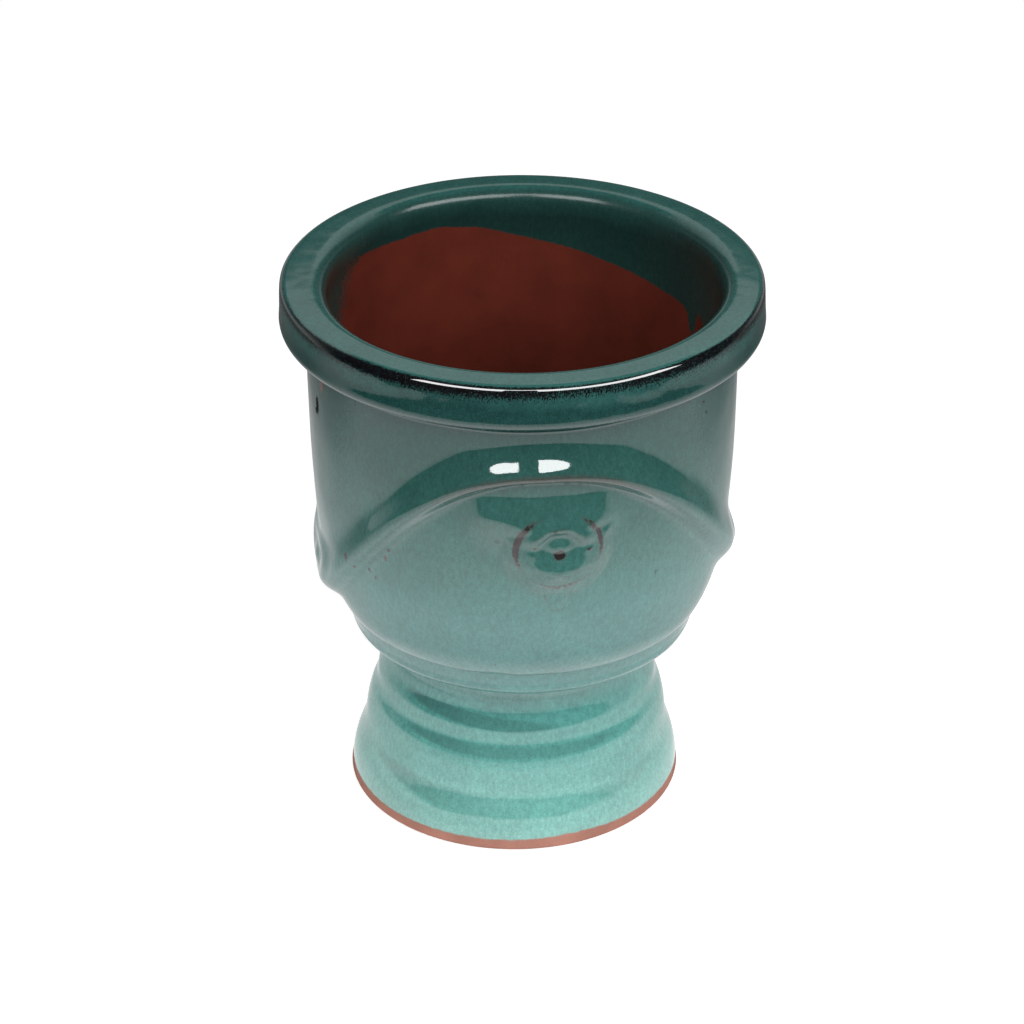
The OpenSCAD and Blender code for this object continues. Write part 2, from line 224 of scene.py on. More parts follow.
def wall_r(z):
    """Outer radius of the bowl's bare wall."""
    depth = np.clip((RIM_BASE_Z - z) / (RIM_BASE_Z - BOWL_EDGE_Z), 0.0, 1.0)
    return BOWL_R - BELLY_DRAW * depth**BELLY_POWER - TUCK_IN * depth**TUCK_POWER


def side_of(angle):
    """1 at the front of the urn and -1 at its back, smooth between."""
    return np.cos(np.radians(angle))


def beside(angle):
    """0 at the front and back of the urn and 1 at its sides, smooth between."""
    return 1.0 - side_of(angle) ** 2


def local_angle(angle, turn):
    """Angle from the middle of the nearer rosette, whose ornament is turned by turn at the front."""
    front = np.where(side_of(angle) >= 0.0, 1.0, -1.0)
    return (angle + 90.0) % 180.0 - 90.0 - turn * front


def band(angle):
    """The band of garlands and swags at an angle: lower edge, upper edge, thickness, ridge and skew."""
    turned = angle - GARLAND_TURN * side_of(angle)
    wave = ((1.0 - np.cos(2.0 * np.radians(turned))) / 2.0) ** BAND_POWER
    left = np.clip(-np.sin(np.radians(angle)), 0.0, 1.0)
    sag = LEFT_SAG * left
    low = CREST_LOW_Z + (SWAG_LOW_Z - sag - CREST_LOW_Z) * wave
    high = CREST_HIGH_Z + (SWAG_HIGH_Z - sag - CREST_HIGH_Z) * wave
    from_middle = local_angle(angle, GARLAND_TURN)
    swell = sum(h * bump(from_middle, at, half) for h, at, half in CREST_SWELLS)
    thick = CREST_T + (SWAG_T - CREST_T) * wave + swell
    ridge = CREST_RIDGE + (SWAG_RIDGE - LEFT_RIDGE * left - CREST_RIDGE) * wave**RIDGE_POWER
    skew = CREST_SKEW + (1.0 - CREST_SKEW) * wave**SKEW_POWER
    return low, high, thick, ridge, skew


def band_h(angle, z):
    """Height of the garlands and swags over the wall."""
    low, high, thick, ridge, skew = band(angle)
    t = np.clip((z - low) / (high - low), 0.0, 1.0)
    nose = np.where(
        t < ridge,
        np.sin(np.pi / 2.0 * np.minimum(t / ridge, 1.0)),
        (1.0 + np.cos(np.pi * np.clip((t - ridge) / (1.0 - ridge), 0.0, 1.0) ** skew)) / 2.0,
    )
    along = (np.abs((angle + 180.0) % 180.0 - 90.0)) * math.pi / 180.0 * BOWL_R
    across = z - (low + high) / 2.0
    folds = np.cos(2.0 * np.pi * np.hypot(along / FOLD_STRETCH, across) / FOLD_PITCH)
    faded = np.sin(np.pi * t) * bump(along, 0.0, FOLD_REACH)
    return thick * nose + FOLD_H * folds * faded


def rosette_place(angle, z):
    """Distance across and up from the middle of the nearer rosette."""
    across = np.radians(local_angle(angle, ROSETTE_TURN)) * wall_r(ROSETTE_Z)
    return across, z - ROSETTE_Z


def drape_h(angle, z):
    """Height of the sheet that hangs under a garland, like a hood over the rosette."""
    across, _ = rosette_place(angle, z)
    low = DRAPE_LOW_Z - DRAPE_TILT * ease(across, -DRAPE_TILT_HALF, DRAPE_TILT_HALF)
    low = low - DRAPE_SAG * bump(across, DRAPE_SAG_AT, DRAPE_SAG_HALF)
    share = ease(across, *DRAPE_LEFT) * (1.0 - ease(across, *DRAPE_RIGHT))
    thick = DRAPE_TOP_T + DRAPE_SLOPE * np.clip(DRAPE_TOP_Z - np.maximum(z, low), 0.0, None)
    return share * thick * ease(z, low - DRAPE_BELOW, low + DRAPE_ABOVE)


def rosette_h(angle, z):
    """Height of a rosette: a bevelled ring, a plate that swells above and below, a dish and an eye."""
    across, up = rosette_place(angle, z)
    r, turn = np.hypot(across, up), np.degrees(np.arctan2(up, across))
    plate = DISH_T + PLATE_SLOPE * np.clip(PLATE_FROM - up, 0.0, PLATE_DROP)
    inward = np.clip((ROSETTE_RING_R - r) / (ROSETTE_RING_R - PLATE_R), 0.0, 1.0)
    lower = RING_T + (plate - RING_T) * inward + RING_BEAD_H * bump(r, ROSETTE_RING_R, RING_BEAD_HALF)
    upper = np.interp(r, [p[0] for p in RELIEF_UP], [p[1] for p in RELIEF_UP])
    above = ease(up / np.maximum(r, 0.01), *UPPER_SPAN)
    outer_r = ROSETTE_R + BEVEL_W + BEVEL_WIDER * bump(turn, *BEVEL_WIDER_AT)
    bevel = RING_T * np.clip((outer_r - r) / (outer_r - ROSETTE_RING_R), 0.0, 1.0)
    body = lower + (upper - lower) * above
    on_bevel = np.minimum(body, bevel + BEVEL_LIFT * above)
    body = np.where(r > ROSETTE_RING_R, on_bevel, body) * (r < outer_r)
    petals = PETAL_H * np.cos(PETALS * np.radians(turn)) * bump(r, PETAL_R, PETAL_HALF)
    eye = EYE_H * (1.0 - above) * bump(r, EYE_R, EYE_HALF) - PIT_D * (1.0 - ease(r, *PIT_SPAN))
    return body + petals + eye + STUD_H * studs(across, up)


def studs(across, up):
    """1 in the middle of each stud on a rosette and 0 off it."""
    return sum(bump(np.hypot((across - x) / w, (up - y) / h), 0.0, 1.0) for x, y, w, h in STUDS)


def pendant_h(angle, z):
    """Height of the tongue under a rosette."""
    across, up = rosette_place(angle, z)
    drop = -PENDANT_TOP - up
    half = PENDANT_HALF_W * np.sqrt(1.0 - np.clip(drop / PENDANT_L, 0.0, 1.0) ** 2)
    return PENDANT_T * ease(half - np.abs(across), 0.0, PENDANT_EDGE) * (drop > 0.0)


def pressed_h(angle, z):
    """Height of the drapes, rosettes and pendants over the wall, before the glaze softens them."""
    r = np.hypot(*rosette_place(angle, z))
    sheet = np.maximum(drape_h(angle, z) * ease(r, *DRAPE_OFF_ROSETTE), pendant_h(angle, z))
    return np.maximum(sheet, rosette_h(angle, z))


# Places round a point, as shares of the glaze's reach, and how fast their weights fall
SOFT_STEPS, SOFT_POWER = (-1.0, -0.5, 0.0, 0.5, 1.0), 2.0
# Where the glaze breaks brown on a rosette's ring: (strength, angle, half width)
RING_BREAKS = ((1.40, 165.0, 70.0), (1.00, 20.0, 72.0), (0.70, 275.0, 85.0))
RING_BREAK_IN, RING_BREAK_HALF = 0.5, 4.0
STUD_BREAK = 0.85
# The eye is painted dark: its brown break, with painted shade in its pit
EYE_BROWN_SHADE, EYE_BROWN_SHADE_DROP, EYE_BROWN_SHADE_R = 1.6, 1.4, 6.2


def painted_breaks(angle, z):
    """Brown breaks of the glaze on a rosette's ring and studs, and its eye with painted shade, from 0."""
    across, up = rosette_place(angle, z)
    r, turn = np.hypot(across, up), np.degrees(np.arctan2(up, across))
    strongest = np.maximum.reduce([share * around(turn, at, half) for share, at, half in RING_BREAKS])
    ring = strongest * bump(r, ROSETTE_RING_R - RING_BREAK_IN, RING_BREAK_HALF)
    eye = EYE_BROWN_SHADE * bump(np.hypot(across, up + EYE_BROWN_SHADE_DROP), 0.0, EYE_BROWN_SHADE_R)
    return np.maximum(np.maximum(ring, STUD_BREAK * studs(across, up)), eye)


def softened(height, angle, z, reach):
    """height as glaze of that reach fills it: its mean over the neighbourhood, weighted to the middle."""
    total, weights = 0.0, 0.0
    for step_a in SOFT_STEPS:
        for step_z in SOFT_STEPS:
            weight = math.exp(-SOFT_POWER * (step_a**2 + step_z**2))
            moved = angle + np.degrees(step_a * reach / BOWL_R)
            total = total + weight * height(moved, z + step_z * reach)
            weights += weight
    return total / weights


def arc(x, z, r, start, end, steps):
    """Points [radius, height] along an arc, from one angle to another."""
    t = np.radians(np.linspace(start, end, steps + 1))
    return np.stack([x + r * np.cos(t), z + r * np.sin(t)], axis=-1)


def line(start, end, steps):
    """Points [radius, height] along a straight line, both ends left out."""
    t = np.arange(1, steps)[:, None] / steps
    return np.array(start) + (np.array(end) - np.array(start)) * t


def even_steps(spans):
    """Values through several spans, each (start, end, count) with its end left out."""
    return np.concatenate([np.linspace(*span, endpoint=False) for span in spans])


def revolved(a, radii, heights):
    """Points of rings round the Z axis, in metres, rows by columns by 3."""
    turn = np.radians(a)
    r = np.broadcast_to(radii, np.broadcast(radii, turn).shape)
    z = np.broadcast_to(heights, r.shape)
    return np.stack([r * np.sin(turn), -r * np.cos(turn), z], axis=-1) * MM


def placed(name, data):
    """A new object in the scene."""
    thing = bpy.data.objects.new(name, data)
    bpy.context.scene.collection.objects.link(thing)
    return thing


def skin(name, rings, facts, material, slot, *nodes):
    """A closed skin through rings of points, the last ring joined to the first. facts are named values
    for each point, which its material reads. It stands for the CAD nodes named."""
    facts = {"relief": 0.0, "clay": GLAZED, "breaks": 0.0, "brown": 0.0, "dull_shaded": 0.0, **facts}
    rows, count = rings.shape[:2]
    index = np.arange(rows * count).reshape(rows, count)
    right = np.roll(index, -1, axis=1)
    quads = np.stack([index, right, np.roll(right, -1, axis=0), np.roll(index, -1, axis=0)], axis=-1)
    mesh = bpy.data.meshes.new(name)
    mesh.from_pydata(rings.reshape(-1, 3).tolist(), [], quads.reshape(-1, 4).tolist())
    for key, values in facts.items():
        layer = mesh.attributes.new(key, "FLOAT", "POINT")
        spread = np.broadcast_to(values, (rows, count)).astype(np.float32)
        layer.data.foreach_set("value", spread.ravel())
    mesh.shade_smooth()
    mesh.set_sharp_from_angle(angle=math.radians(SHARP_EDGE))
    piece = placed(name, mesh)
    piece.data.materials.append(material)
    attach(piece, "root")
    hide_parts(*nodes)
    return piece


# MATERIALS


class Shader:
    """A node tree, with short calls for its nodes."""

    def __init__(self, owner):
        owner.use_nodes = True
        self.owner = owner
        self.tree = owner.node_tree
        self.tree.nodes.clear()

    def add(self, kind, inputs=None, **settings):
        """A shader node of that kind, with the values or links of its inputs."""
        node = self.tree.nodes.new("ShaderNode" + kind)
        for key, value in settings.items():
            setattr(node, key, value)
        for key, value in (inputs or {}).items():
            self.feed(node.inputs[key], value)
        return node

    def feed(self, socket, value):
        if isinstance(value, bpy.types.NodeSocket):
            self.tree.links.new(value, socket)
        elif isinstance(value, tuple) and len(value) == 3 and socket.type == "RGBA":
            socket.default_value = (*value, 1.0)
        else:
            socket.default_value = value

    def math(self, operation, a, b=0.0, c=0.0, clamp=False):
        node = self.add("Math", {0: a, 1: b, 2: c}, operation=operation, use_clamp=clamp)
        return node.outputs[0]

    def fact(self, name):
        """A value that the mesh holds for each point."""
        return self.add("Attribute", attribute_name=name).outputs["Fac"]

    def place(self, stretch=(1.0, 1.0, 1.0)):
        """The point's place on the pot, in metres, with each axis scaled."""
        where = self.add("TexCoord").outputs["Object"]
        return self.add("Mapping", {"Vector": where, "Scale": stretch}).outputs[0]

    def noise(self, size, detail=2.0, roughness=0.5, stretch=(1.0, 1.0, 1.0)):
        """Noise with features of that size in millimetres, about 0.5 on average."""
        place, scale = self.place(stretch), 1.0 / (size * MM)
        inputs = {"Vector": place, "Scale": scale, "Detail": detail, "Roughness": roughness}
        return self.add("TexNoise", inputs).outputs["Fac"]

    def span(self, value, low, high, to_low=0.0, to_high=1.0, smooth=True):
        """value mapped from one range to another, and held inside it."""
        node = self.add(
            "MapRange",
            {"Value": value, "From Min": low, "From Max": high, "To Min": to_low, "To Max": to_high},
            interpolation_type="SMOOTHSTEP" if smooth else "LINEAR",
        )
        return node.outputs["Result"]

    def roughened(self, value, noise, amount):
        """value with noise added to it, up and down."""
        return self.math("MULTIPLY_ADD", self.math("SUBTRACT", noise, 0.5), amount, value)

    def mix(self, share, a, b, blend="MIX"):
        inputs = {"Factor": share, 6: a, 7: b}
        return self.add("Mix", inputs, data_type="RGBA", blend_type=blend).outputs[2]

    def blend(self, share, a, b):
        """Two shaders mixed, from a at 0 to b at 1."""
        return self.add("MixShader", {0: share, 1: a, 2: b}).outputs[0]

    def emission(self, colour, strength):
        return self.add("Emission", {"Color": colour, "Strength": strength}).outputs[0]

    def bump(self, height, distance, strength=1.0, **inputs):
        """A surface normal with relief of that depth in millimetres."""
        wanted = {"Strength": strength, "Distance": distance * MM, "Height": height, **inputs}
        return self.add("Bump", wanted).outputs[0]

    def ramp(self, value, *stops):
        """A colour ramp through (place, colour) stops."""
        node = self.add("ValToRGB", {"Fac": value})
        elements = node.color_ramp.elements
        elements[0].position, elements[0].color = stops[0][0], (*stops[0][1], 1.0)
        elements[1].position, elements[1].color = stops[-1][0], (*stops[-1][1], 1.0)
        for place, colour in stops[1:-1]:
            elements.new(place).color = (*colour, 1.0)
        return node.outputs["Color"]

    def level_ramp(self, value, *stops):
        """A grey ramp through (place, level) stops."""
        return self.ramp(value, *[(place, (level, level, level)) for place, level in stops])

    def end(self, surface, kind="OutputMaterial"):
        """Ends the tree, and gives back its material or world."""
        self.add(kind, {"Surface": surface})
        return self.owner


# Colours, linear
WHITE = (1.0, 1.0, 1.0)
BREAK_BLACK = (0.006, 0.0045, 0.006)
BREAK_BROWN = (0.10, 0.055, 0.05)
BREAK_DARK = (0.020, 0.013, 0.016)
# Glaze pooled in hollows, which also serves as painted shade in creases and under the garland
POOL_AND_SHADE_SOFT = (0.045, 0.105, 0.098)
POOL_TEAL = (0.018, 0.085, 0.080)
# The soft dark of the rim's glaze break, also painted shade at the rim's right
BREAK_SHADE_DARK = (0.010, 0.024, 0.026)
# Bare clay inside, painted far darker than the same clay at the foot: painted shade
SHADED_CLAY_INSIDE = (0.118, 0.0195, 0.0105)
CLAY_FOOT = (0.50, 0.235, 0.18)
PINK_MARK = (0.20, 0.09, 0.085)
# Glaze inside the bowl, painted dark as painted shade
SHADED_GLAZE_INSIDE = (0.006, 0.016, 0.013)

# The glaze's colour by height, as a share of the urn's height
GLAZE_BY_HEIGHT = (
    (0.03, (0.200, 0.520, 0.460)),
    (0.08, (0.205, 0.530, 0.470)),
    (0.14, (0.160, 0.460, 0.410)),
    (0.21, (0.118, 0.385, 0.345)),
    (0.29, (0.106, 0.322, 0.300)),
    (0.40, (0.086, 0.275, 0.258)),
    (0.52, (0.078, 0.245, 0.228)),
    (0.63, (0.056, 0.176, 0.156)),
    (0.78, (0.034, 0.112, 0.098)),
    (0.95, (0.014, 0.060, 0.055)),
    (0.985, (0.034, 0.130, 0.116)),
)
# How far clouds move that colour up or down
CLOUD_SHIFT = 0.06

# Sizes of the noise, in millimetres
CLOUD_MM, MILK_MM, SPECK_MM, FLECK_MM, RAGGED_MM = 60.0, 34.0, 2.6, 0.62, 1.6
WAVE_MM, FINE_MM, GRIT_MM, EARTH_MM, EDGE_MM = 20.0, 1.8, 0.9, 28.0, 4.0
SPECK_ROUGHNESS, MILK_ROUGHNESS = 0.6, 0.55
FLECK_STRETCH = (1.0, 1.0, 0.5)

# The values that most of a noise lies between
NOISE_SPAN, MILK_SPAN = (0.3, 0.7), (0.32, 0.68)

# Tones: (size of the noise, its upright scale, darkest, lightest), or the last two alone
GRAIN = (1.0, 1.0, 0.86, 1.14)
CRACKLE = (2.6, 0.6, 0.88, 1.12)
STREAKS = (1.5, 0.14, 0.95, 1.05)
MILK_TONE = (0.93, 1.07)
EARTH_TONE, GRIT_TONE = (0.87, 1.13), (0.92, 1.08)

# Tints of the glaze: the values between which each comes in, its greatest share and its colour
# Pooled glaze and painted shade, where the surface lies below its surroundings
POOLED_AND_SHADED = ((-0.10, -1.6), 0.50, POOL_AND_SHADE_SOFT)
WORN = ((0.35, 1.5), 0.50, BREAK_BROWN)
BROWNED = ((0.22, 0.80), 0.62, BREAK_BROWN)
DARKENED = ((0.48, 0.85), 0.88, BREAK_DARK)
DEEPENED = ((0.0, 0.9), 0.62, BREAK_SHADE_DARK)
BLACKENED = ((0.42, 0.62), 1.0, BREAK_BLACK)
# How much noise frays the edges of the worn, brown and black glaze, and of the bare clay
WORN_FRAY, BROWN_FRAY, BLACK_FRAY, CLAY_FRAY = 1.1, 1.3, 1.9, 1.2
CLAY_SPAN = (-0.45, 0.45)
# How far the glaze inside is painted toward its dark colour: painted shade
INSIDE_SHADE_SHARE = 0.62

# Small marks in the glaze: angle, height, half width, half height, colour. In black ones it is chipped off.
MARKS = (
    (-77.4, 308.6, 3.0, 6.8, BREAK_BLACK),
    (-78.5, 303.6, 2.2, 2.6, BREAK_BLACK),
    (-73.8, 327.0, 3.0, 5.0, PINK_MARK),
    (46.3, 328.7, 0.9, 0.8, BREAK_BLACK),
    (47.7, 319.8, 0.7, 1.1, BREAK_BLACK),
    (30.4, 217.0, 0.6, 2.6, POOL_TEAL),
    (30.8, 217.4, 2.4, 0.5, POOL_TEAL),
    (-14.4, 259.4, 1.9, 1.9, POOL_TEAL),
    (-15.9, 157.0, 0.5, 0.9, BREAK_DARK),
    (-57.5, 211.0, 1.3, 3.4, BREAK_BROWN),
    (-54.0, 212.0, 1.1, 2.8, BREAK_DARK),
    (-52.0, 207.0, 1.0, 2.2, BREAK_BROWN),
    (-46.0, 235.0, 1.6, 2.4, BREAK_DARK),
    (-47.5, 227.0, 1.2, 3.0, BREAK_BROWN),
    (-60.5, 217.0, 2.6, 2.8, BREAK_BROWN),
)
MARK_FRAY, MARK_SPAN, MARK_SHARE = 1.2, (1.75, 1.25), 0.9

# Gloss and roughness of the glaze outside, of the thin glaze inside and of bare clay
GLAZE_IOR = 2.05
GLAZE_GLOSS, INSIDE_GLOSS, CLAY_GLOSS = 0.5, 0.14, 0.08
GLAZE_ROUGH, INSIDE_ROUGHER, CLAY_ROUGH = (0.03, 0.055), 0.17, (0.7, 0.9)

# Depth of the glaze's slow waves and fine texture and of the clay's pits, in millimetres
WAVE_DEPTH, FINE_DEPTH, PIT_DEPTH = 0.22, 0.03, 0.2
FINE_STRENGTH, PIT_STRENGTH = 0.2, 0.5


def toned(s, colour, tone):
    """A colour multiplied by a tone."""
    grey = s.add("CombineXYZ", {0: tone, 1: tone, 2: tone}).outputs[0]
    return s.mix(1.0, colour, grey, "MULTIPLY")


def tinted(s, body, value, span, share, colour):
    """body with colour over it where value passes through span."""
    return s.mix(s.math("MULTIPLY", s.span(value, *span), share), body, colour)


def noisy_tone(s, size, upright, darkest, lightest):
    """A tone from noise of that size, drawn out upright where its upright scale is under 1."""
    return s.span(s.noise(size, stretch=(1.0, 1.0, upright)), *NOISE_SPAN, darkest, lightest, False)


def glaze_tone(s):
    """The glaze's tone: its grain, streaks, crackle and milky clouds."""
    milk = s.span(s.noise(MILK_MM, 3.0, MILK_ROUGHNESS), *MILK_SPAN, *MILK_TONE, False)
    fine = s.math("MULTIPLY", noisy_tone(s, *GRAIN), noisy_tone(s, *STREAKS))
    return s.math("MULTIPLY", fine, s.math("MULTIPLY", noisy_tone(s, *CRACKLE), milk))


def add_marks(s, body):
    """The body's colour with its small marks, and how far the glaze is chipped off in the black ones."""
    ragged, chips = s.noise(RAGGED_MM), 0.0
    for angle, z, wide, high, colour in MARKS:
        r = float(wall_r(z) + np.maximum(band_h(angle, z), pressed_h(angle, z))) * MM
        a = math.radians(angle)
        scale = (1.0 / (wide * MM), 1.0 / (wide * MM), 1.0 / (high * MM))
        at = (r * math.sin(a) * scale[0], -r * math.cos(a) * scale[1], z * MM * scale[2])
        apart = s.add("VectorMath", {0: s.place(scale), 1: at}, operation="DISTANCE")
        away = s.math("MULTIPLY_ADD", ragged, MARK_FRAY, apart.outputs["Value"])
        share = s.span(away, *MARK_SPAN)
        body = s.mix(s.math("MULTIPLY", share, MARK_SHARE), body, colour)
        if colour == BREAK_BLACK:
            chips = s.math("MAXIMUM", chips, share)
    return body, chips


def glaze_colour(s, cloud):
    """The glaze's colour, dark teal at the rim down to pale aqua at the foot, and where it is chipped off."""
    up = s.add("SeparateXYZ", {0: s.place()}).outputs["Z"]
    level = s.roughened(s.math("DIVIDE", up, RIM_TOP_Z * MM), cloud, CLOUD_SHIFT)
    body = toned(s, s.ramp(level, *GLAZE_BY_HEIGHT), glaze_tone(s))
    speck = s.noise(SPECK_MM, 3.0, SPECK_ROUGHNESS)
    relief = s.fact("relief")
    # Painted shade and pooled glaze in hollows
    body = tinted(s, body, relief, *POOLED_AND_SHADED)
    body = tinted(s, body, s.roughened(relief, speck, WORN_FRAY), *WORN)
    brown = s.roughened(s.fact("brown"), speck, BROWN_FRAY)
    body = tinted(s, tinted(s, body, brown, *BROWNED), brown, *DARKENED)
    body, chips = add_marks(s, body)
    # Painted shade: the glaze inside is painted darker
    body = s.mix(s.math("MULTIPLY", s.fact("dull_shaded"), INSIDE_SHADE_SHARE), body, SHADED_GLAZE_INSIDE)
    breaks = s.fact("breaks")
    # The rim's glaze break, with painted shade at its right
    body = tinted(s, body, breaks, *DEEPENED)
    black = s.roughened(breaks, s.noise(FLECK_MM, stretch=FLECK_STRETCH), BLACK_FRAY)
    return tinted(s, body, black, *BLACKENED), chips


def glaze_coat(s, body, cloud):
    """The glaze's shader, glossy outside and thin and dull inside, with slow waves and fine texture."""
    wave = s.bump(s.noise(WAVE_MM, 1.0), WAVE_DEPTH)
    normal = s.bump(s.noise(FINE_MM), FINE_DEPTH, FINE_STRENGTH, Normal=wave)
    dull_shaded = s.fact("dull_shaded")
    rough = s.math("MULTIPLY_ADD", dull_shaded, INSIDE_ROUGHER, s.span(cloud, *NOISE_SPAN, *GLAZE_ROUGH, False))
    shared = {"Base Color": body, "Roughness": rough, "Normal": normal, "IOR": GLAZE_IOR}
    coats = [
        s.add("BsdfPrincipled", {**shared, "Specular IOR Level": gloss}).outputs[0]
        for gloss in (GLAZE_GLOSS, INSIDE_GLOSS)
    ]
    return s.blend(dull_shaded, *coats)


def bare_clay(s, colour):
    """The fired clay's shader: matt and gritty, with slow changes of tone."""
    grit = s.noise(GRIT_MM, 3.0, SPECK_ROUGHNESS)
    tone = s.math(
        "MULTIPLY",
        s.span(s.noise(EARTH_MM, 3.0), *NOISE_SPAN, *EARTH_TONE, False),
        s.span(grit, *NOISE_SPAN, *GRIT_TONE, False),
    )
    inputs = {
        "Base Color": toned(s, colour, tone),
        "Roughness": s.span(grit, *NOISE_SPAN, *CLAY_ROUGH, False),
        "Normal": s.bump(grit, PIT_DEPTH, PIT_STRENGTH),
        "Specular IOR Level": CLAY_GLOSS,
    }
    return s.add("BsdfPrincipled", inputs).outputs[0]


def glaze(name, clay_colour):
    """Glaze over clay, with chips in it, and with clay where it stays bare."""
    s = Shader(bpy.data.materials.new(name))
    cloud = s.noise(CLOUD_MM, 3.0)
    body, chips = glaze_colour(s, cloud)
    matt = s.add("BsdfDiffuse", {"Color": BREAK_BLACK}).outputs[0]
    glazed = s.blend(s.math("MULTIPLY", chips, MARK_SHARE), glaze_coat(s, body, cloud), matt)
    edge = s.roughened(s.fact("clay"), s.noise(EDGE_MM, 3.0), CLAY_FRAY)
    return s.end(s.blend(s.span(edge, *CLAY_SPAN), glazed, bare_clay(s, clay_colour)))


glaze_rim = glaze("glaze_rim", SHADED_CLAY_INSIDE)
glaze_body = glaze("glaze_body", SHADED_CLAY_INSIDE)
glaze_foot = glaze("glaze_foot", CLAY_FOOT)


# THE INSIDE'S GLAZE

# What the materials read as fully glazed and as fully bare
GLAZED, BARE = -9.0, 9.0

# Height inside at which the glaze ends, poured round by hand: (angle, height)
DRIP_POINTS = (
    (-122.0, 338.0), (-126.0, 349.0), (-130.0, 354.5), (-134.0, 356.3), (-149.0, 354.6), (-162.0, 356.0),
    (-174.0, 352.0), (180.0, 348.6), (174.0, 344.2), (164.0, 339.4), (154.0, 335.0), (144.6, 330.0),
    (134.4, 326.0), (125.4, 322.3), (116.0, 319.6), (113.4, 316.0), (112.4, 306.0), (111.0, 302.0),
    (109.6, 306.0), (108.6, 314.0), (107.4, 323.0), (104.0, 316.0), (101.5, 312.0), (90.0, 318.0),
    (45.0, 324.0), (0.0, 320.0), (-60.0, 250.0), (-106.0, 225.0), (-110.0, 235.0), (-114.0, 262.0),
    (-118.0, 305.0),
)
# How far the glaze's edge is spread, and how much more at one (angle, half width)
DRIP_SOFT, DRIP_SOFTER, DRIP_SOFTER_AT = 2.0, 100.0, (246.0, 20.0)


def drip_z(angle):
    """Height inside at which the glaze ends."""
    return np.interp(angle, [p[0] for p in DRIP_POINTS], [p[1] for p in DRIP_POINTS], period=360.0)


def clay_share(angle, z):
    """How bare the inside is, from glazed, below 0, to bare clay. The glaze thins out slowly at one side."""
    soft = DRIP_SOFT + DRIP_SOFTER * around(angle, *DRIP_SOFTER_AT)
    return np.clip((drip_z(angle) - z) / soft, GLAZED, BARE)


# THE BOWL

# Columns of the bowl's mesh, finest on the front rosette: (from, to, step)
COLUMN_SPANS = (
    (-14.5, 14.5, 0.3), (14.5, 90.0, 0.85), (90.0, 165.5, 1.3), (165.5, 194.5, 0.45),
    (194.5, 270.0, 1.3), (270.0, 345.5, 0.85),
)
# Rows of its outside from the edge up, finest over the rosettes: (from, to, rows)
ROW_SPANS = ((BOWL_EDGE_Z, 212.0, 34), (212.0, 290.0, 92), (290.0, 334.0, 31), (334.0, RIM_BASE_Z, 14))
INNER_ROWS, CORNER_STEPS, FLOOR_STEPS = 13, 5, 3

# The glaze's reach over the band: at the crests, more between crests and swags, and more at the sides
BAND_SOFT, BAND_SOFTER_BETWEEN, BAND_SOFTER_BESIDE = 2.6, 3.4, 1.5
PRESSED_SOFT, BREAKS_SOFT = 1.4, 0.8
# The reach that gives the broad forms, which hollows and ridges are told from
BAND_BROAD, PRESSED_BROAD = 8.0, 6.0
# The heights between which the relief begins
RELIEF_SPAN = (BOWL_EDGE_Z, BOWL_EDGE_Z + 6.0)
# The bead under the rim and the creases beside it: (size, distance under the rim, half width)
SOFT_BEAD = (0.45, 1.8, 1.6)
# The creases beside the bead are painted shade alone, with no groove in the shape
BEAD_CREASE_SHADES = ((1.8, 0.3, 1.3), (1.4, 3.4, 1.2))
# The line of glaze along a pendant's edge: depth, and the height on the edge that it follows
PENDANT_POOL, PENDANT_POOL_H, PENDANT_POOL_HALF = 1.3, 0.4, 0.38


def below_rim(z, size, drop, half):
    """A bump of that size on the wall, a distance below the rim."""
    return size * bump(z, RIM_BASE_Z - drop, half)


def bowl_outside(a, z):
    """The bowl's outer radii, and how far each point stands over its surroundings."""
    between = np.sin(np.radians(2.0 * a)) ** 2
    reach = BAND_SOFT + BAND_SOFTER_BETWEEN * between + BAND_SOFTER_BESIDE * beside(a)
    relief = np.maximum(softened(band_h, a, z, reach), softened(pressed_h, a, z, PRESSED_SOFT))
    broad = np.maximum(softened(band_h, a, z, BAND_BROAD), softened(pressed_h, a, z, PRESSED_BROAD))
    fade = ease(z, *RELIEF_SPAN)
    radii = wall_r(z) + (relief + waves(a, z, BOWL_WAVES)) * fade + below_rim(z, *SOFT_BEAD)
    # Painted shade of the creases under the rim
    crease_shade = sum(below_rim(z, *crease) for crease in BEAD_CREASE_SHADES)
    tongue = PENDANT_POOL * bump(pendant_h(a, z), PENDANT_POOL_H, PENDANT_POOL_HALF)
    # Below 0 is pooled glaze and painted shade in hollows and creases, and the glaze line round a pendant
    return radii, (relief - broad) * fade - crease_shade - tongue


def bowl_inside():
    """The bowl's outline from its mouth down the inside, through the drain hole and back to its edge."""
    floor_z = BOWL_BASE_Z + FLOOR_T
    corner_z = floor_z + FLOOR_ROUND
    inner_z = np.linspace(RIM_BASE_Z, corner_z, INNER_ROWS)
    inner = np.stack([wall_r(inner_z) - WALL, inner_z], axis=-1)
    corner_r = inner[-1, 0] - FLOOR_ROUND
    corner = arc(corner_r, corner_z, FLOOR_ROUND, 0.0, -90.0, CORNER_STEPS)[1:]
    floor = line((corner_r, floor_z), (DRAIN_R, floor_z), FLOOR_STEPS)
    base = [(DRAIN_R, floor_z), (DRAIN_R, BOWL_BASE_Z), (JOINT_R, BOWL_BASE_Z), (JOINT_R, BOWL_EDGE_Z)]
    return np.concatenate([inner, corner, floor, base])


